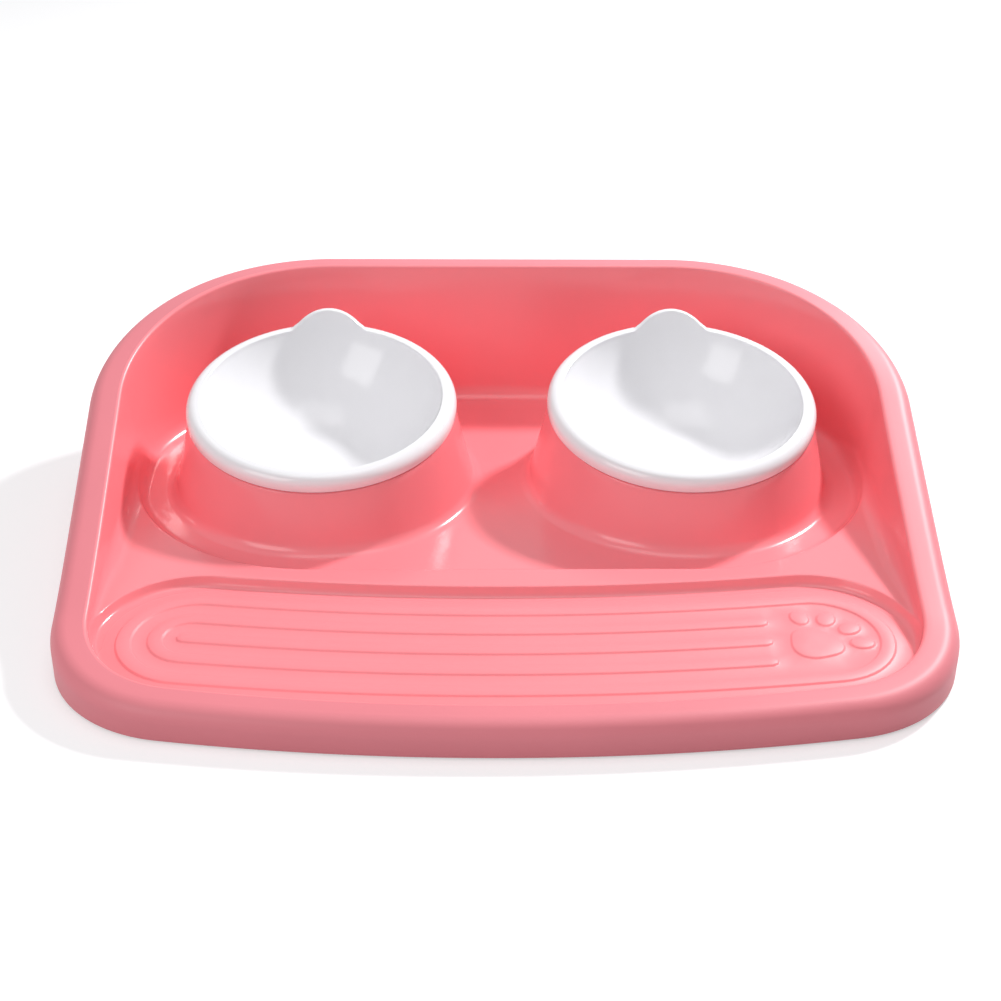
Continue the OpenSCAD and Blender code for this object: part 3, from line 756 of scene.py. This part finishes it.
def shell(columns, poles=()):
    """Points and faces of columns side by side all round, closed at its poles if it has any."""
    columns = np.asarray(columns, float)
    n, m = columns.shape[:2]
    points = np.vstack([columns.reshape(-1, 3), *[[p] for p in poles]])
    faces = [(i * m + j, (i + 1) % n * m + j, (i + 1) % n * m + j + 1, i * m + j + 1)
        for i in range(n) for j in range(m - 1)]
    for k, j in enumerate((0, m - 1)[:len(poles)]):
        faces += [(i * m + j, (i + 1) % n * m + j, n * m + k) for i in range(n)]
    return points, faces


pedestals = [shell([pedestal_column(axis, centre, turn) for turn in pedestal_turns])
    for axis, centre in zip(pedestal_axes, rim_centres.values())]

# The bosses: six short sockets under the floor that hold the rubber feet. One is turned as a
# solid, and a tree sets a copy at each foot.
socket_r, boss_wall, bore_r, socket_depth, bore_depth = 6.15, 1.6, 3.35, 1.8, 5.95
boss_sides = 36
boss_top = basin_z - wall / 2
boss_profile = [(socket_r + boss_wall, boss_top), (socket_r + boss_wall, skirt_gap + edge_r),
    (socket_r + boss_wall - edge_r, skirt_gap), (socket_r + edge_r, skirt_gap),
    (socket_r, skirt_gap + edge_r), (socket_r, skirt_gap + socket_depth),
    (bore_r, skirt_gap + socket_depth), (bore_r, skirt_gap + bore_depth)]
boss_turns = np.linspace(0, 2 * math.pi, boss_sides, endpoint=False)
boss_columns = [[(r * math.cos(a), r * math.sin(a), z) for r, z in boss_profile] for a in boss_turns]
boss, = joined("boss", [shell(boss_columns, [(0, 0, boss_top), (0, 0, skirt_gap + bore_depth)])])
feet = [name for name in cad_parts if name.startswith("foot_")]
foot_spots = []
for name in feet:
    low, high = (Vector(corner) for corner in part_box(name))
    foot_spots.append(((low.x + high.x) / 2, (low.y + high.y) / 2, 0))
tree, given, named = node_group("boss_places", {"Boss": "NodeSocketObject",
    "Material": "NodeSocketMaterial"})
single = add(tree, "GeometryNodeObjectInfo", {"Object": given["Boss"]})
copies = add(tree, "GeometryNodeInstanceOnPoints", {"Points": given["Geometry"],
    "Instance": single.outputs["Geometry"]})
finish_tree(tree, given, copies.outputs[0])
bosses = grown(carrier("bosses", foot_spots, []), tree, named, {"Boss": boss, "Material": pink})
bpy.data.objects.remove(boss)

# The whole tray: the parts meet edge to edge, so that they become one closed moulding.
weld_mm = 0.01
tread_satin, rib_satin = 0.9, 0.95
parts = [lip, bosses, *joined("tray_part", [(top, triangles), (under, triangles[:, ::-1]), *pedestals])]
on_tread = smooth(tread_inside(*points.T) / step_run(tread_drop, tread_step) - 1)
finish = on_tread * (tread_satin + (rib_satin - tread_satin) * relief(*points.T) / rib_h)
parts[2].data.attributes.new("satin", "FLOAT", "POINT").data.foreach_set("value", finish)
bpy.ops.object.select_all(action="DESELECT")
for part in parts:
    part.select_set(True)
bpy.context.view_layer.objects.active = lip
bpy.ops.object.join()
tray = lip
tray.name = tray.data.name = "tray_moulding"


def closed_up(mesh, weld, sharp=35):
    """Welds a mesh's doubles, turns its faces outwards and shades it smooth up to an angle."""
    shape = bmesh.new()
    shape.from_mesh(mesh)
    bmesh.ops.remove_doubles(shape, verts=shape.verts, dist=weld * MM)
    bmesh.ops.dissolve_degenerate(shape, edges=shape.edges, dist=weld * MM / 10)
    bmesh.ops.recalc_face_normals(shape, faces=shape.faces)
    shape.to_mesh(mesh)
    shape.free()
    mesh.shade_smooth()
    mesh.set_sharp_from_angle(angle=math.radians(sharp))


closed_up(tray.data, weld_mm)
sweep_values = ("spot", "outward", "base", "rise", "foot", "level", "with_rise", "with_foot", "with_level")
for name in [a.name for a in tray.data.attributes if a.name in sweep_values]:
    tray.data.attributes.remove(tray.data.attributes[name])
tray.data.materials.clear()
tray.data.materials.append(pink)
for face in tray.data.polygons:
    face.material_index = 0
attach(tray, "tray")
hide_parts("tray")

# Bowls: white gloss plastic, moulded. A round hollow with a rolled rim, a thin skirt that hangs
# over the pedestal's collar, and at the back a half-round thumb tab that carries the wall on up.
bowl_white, bowl_white_deep = "#F3F2F5", "#EFEEF2"
bowl_roughness, bowl_smear = 0.12, 0.05
bowl_wave_mm, bowl_wave_depth, bowl_cloud_mm = 18, 0.008, 60
rim_w, roll_r, rim_edge_r = 7, 5, 0.7
hollow_r, bowl_depth = 64, 35
tab_rise, tab_r, tab_blend_r, tab_edge_r = 7.8, 22, 13, 0.5
white, tree = material("white_gloss_plastic")
place = add(tree, "ShaderNodeTexCoord").outputs["Object"]
waves = add(tree, "ShaderNodeTexNoise", {"Vector": place, "Scale": 1 / (bowl_wave_mm * MM), "Detail": 1.0})
cloud = add(tree, "ShaderNodeTexNoise", {"Vector": place, "Scale": 1 / (bowl_cloud_mm * MM), "Detail": 2.0})
wavy = add(tree, "ShaderNodeBump", {"Height": waves.outputs["Fac"], "Strength": 1.0,
    "Distance": bowl_wave_depth * MM})
shade = add(tree, "ShaderNodeMix", {"Factor": cloud.outputs["Fac"], first_colour: srgb(bowl_white),
    second_colour: srgb(bowl_white_deep)}, data_type="RGBA")
gloss = add(tree, "ShaderNodeMapRange", {"Value": cloud.outputs["Fac"], "To Min": bowl_roughness,
    "To Max": bowl_roughness + bowl_smear})
plastic = add(tree, "ShaderNodeBsdfPrincipled", {"Base Color": shade.outputs[2],
    "Roughness": gloss.outputs[0], "IOR": 1.5, "Normal": wavy.outputs[0]})
add(tree, "ShaderNodeOutputMaterial", {"Surface": plastic.outputs[0]})

mouth = np.array([rim_r - rim_w, -rim_edge_r])
mouth_a = math.asin(mouth[0] / hollow_r)
hollow_z = mouth[1] + hollow_r * math.cos(mouth_a)
tab_along = np.array([math.cos(mouth_a), math.sin(mouth_a)])
tab_c = tab_rise - tab_r
tab_half = math.sqrt((tab_r + tab_blend_r) ** 2 - (tab_blend_r - tab_c) ** 2)
tab_meets = tab_r * tab_half / (tab_r + tab_blend_r)
tab_back_a, tab_edge_steps = math.radians(80), 4
tab_rows, tab_merge, tab_reach, height_rounds = (8, 7), 1.2, 1, 6
edge_rows, flat_rows, crown_rows, roll_rows = 12, 4, 9, 14
bottom_ease, bottom_rows, bottom_shares = 0.12, 9, (0.35, 0.7)
hollow_rows, outside_count = 26, 16


def tab_top(x):
    """Height of the tab's outline above the rim, across the bowl."""
    if x < tab_meets:
        return tab_c + math.sqrt(tab_r ** 2 - x ** 2)
    if x < tab_half:
        return tab_blend_r - math.sqrt(tab_blend_r ** 2 - (tab_half - x) ** 2)
    return 0


def ball(radius, bottom, top_a, rows):
    """Radius and height up a ball from its flat bottom, whose edge is softened."""
    start = math.acos((hollow_z - bottom) / radius)
    edge = np.array([radius * math.sin(start), bottom])
    soft_a = start + bottom_ease
    leaves = np.array([radius * math.sin(soft_a), hollow_z - radius * math.cos(soft_a)])
    inner = edge - [leaves[0] - edge[0], 0]
    blend = [(1 - t) ** 2 * inner + 2 * t * (1 - t) * edge + t * t * leaves
        for t in np.linspace(0, 1, bottom_rows)]
    rise = [np.array([radius * math.sin(a), hollow_z - radius * math.cos(a)])
        for a in np.linspace(soft_a, top_a, rows)[1:]]
    return [np.array([inner[0] * s, bottom]) for s in bottom_shares] + blend + rise


def arc(centre, radius, start, end, rows):
    """Points along an arc, in a section."""
    return [np.array(centre) + radius * np.array([math.cos(a), math.sin(a)])
        for a in np.linspace(start, end, rows)]


# The rim: a small inner edge, a flat crown and a broad outer roll
roll_c = (rim_r - roll_r, -roll_r)
rim_edge = arc((mouth[0] + rim_edge_r, -rim_edge_r), rim_edge_r, math.pi, math.pi / 2, edge_rows)
crown = [np.array([r, 0]) for r in np.linspace(mouth[0] + rim_edge_r, roll_c[0], flat_rows + 1)[1:]]
crown += arc(roll_c, roll_r, math.pi / 2, tab_back_a, crown_rows + 1)[1:]
rim = rim_edge + crown
roll = arc(roll_c, roll_r, tab_back_a, 0, roll_rows)[1:]


def rim_path(turn):
    """The rim from the hollow's mouth over the roll, or up and over the tab where it stands."""
    height = 0
    for _ in range(height_rounds):
        height = tab_top(abs(math.sin(turn) * (mouth[0] + (height - mouth[1]) / math.tan(mouth_a))))
    if height <= 0 or abs(turn) > tab_reach:
        return rim + roll
    thick = np.array([bowl_wall / math.sin(mouth_a), 0])
    tip_in = mouth + tab_along * (height - mouth[1]) / math.sin(mouth_a)
    tip_out = tip_in + thick
    tip = eased_corner(mouth, tip_in, tip_out, tab_edge_r, tab_edge_steps)
    tip += eased_corner(tip_in, tip_out, mouth + thick, tab_edge_r, tab_edge_steps)
    path = [mouth + (tip[0] - mouth) * t for t in np.linspace(0, 1, tab_rows[0], endpoint=False)] + tip
    path += [tip[-1] + (rim[-1] - tip[-1]) * t for t in np.linspace(0, 1, tab_rows[1] + 1)[1:]]
    share = float(smooth(height / tab_merge))
    return [r * (1 - share) + p * share for r, p in zip(rim, path)] + roll


flange_in = rim_r - flange_t
outer_r = hollow_r + bowl_wall
groove_a = math.acos((hollow_z + rim_t) / outer_r)
inside_rows = ball(hollow_r, -bowl_depth, mouth_a, hollow_rows)[:-1]
outside_rows = ball(outer_r, -bowl_depth - bowl_wall, groove_a, outside_count)[::-1]
foot_edge, foot_ease, foot_inner_edge = 0.5, 0.15, 0.3
flange_rows = [np.array(p) for p in ((rim_r, -flange_h + foot_edge),
    (rim_r - foot_ease, -flange_h + foot_ease), (rim_r - foot_edge, -flange_h),
    (flange_in + foot_inner_edge, -flange_h), (flange_in, -flange_h + foot_inner_edge),
    (flange_in, -rim_t))]
tab_zone, tab_columns, other_columns = math.radians(24), 64, 126
bowl_turns = np.concatenate([np.linspace(-tab_zone, tab_zone, tab_columns, endpoint=False),
    np.linspace(tab_zone, 2 * math.pi - tab_zone, other_columns, endpoint=False)])
for name, centre in rim_centres.items():
    columns = []
    for turn in bowl_turns:
        wrapped = (turn + math.pi) % (2 * math.pi) - math.pi
        profile = inside_rows + rim_path(wrapped) + flange_rows + outside_rows
        columns.append([centre + tilt @ np.array([-r * math.sin(turn), r * math.cos(turn), z])
            for r, z in profile])
    poles = [centre + tilt @ np.array([0, 0, z]) for z in (-bowl_depth, -bowl_depth - bowl_wall)]
    bowl, = joined(name + "_moulding", [shell(columns, poles)])
    closed_up(bowl.data, weld=0.001, sharp=50)
    bowl.data.materials.append(white)
    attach(bowl, name)
    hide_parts(name)

# Feet: six black rubber discs with a stem, pressed and glued in the bosses. They keep their CAD
# shape, and their rubber is matt with a fine moulded grain.
rubber_black, rubber_worn = "#36363A", "#404045"
rubber_grain_mm, rubber_grain_depth = 0.7, 0.05
rubber, tree = material("moulded_rubber")
place = add(tree, "ShaderNodeTexCoord").outputs["Object"]
grain = add(tree, "ShaderNodeTexNoise", {"Vector": place, "Scale": 1 / (rubber_grain_mm * MM),
    "Detail": 3.0})
bumps = add(tree, "ShaderNodeBump", {"Height": grain.outputs["Fac"], "Strength": 1.0,
    "Distance": rubber_grain_depth * MM})
shade = add(tree, "ShaderNodeMix", {"Factor": grain.outputs["Fac"], first_colour: srgb(rubber_black),
    second_colour: srgb(rubber_worn)}, data_type="RGBA")
body = add(tree, "ShaderNodeBsdfPrincipled", {"Base Color": shade.outputs[2], "Roughness": 0.75,
    "Normal": bumps.outputs[0]})
add(tree, "ShaderNodeOutputMaterial", {"Surface": body.outputs[0]})
for name in feet:
    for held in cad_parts[name].material_slots:
        held.material = rubber
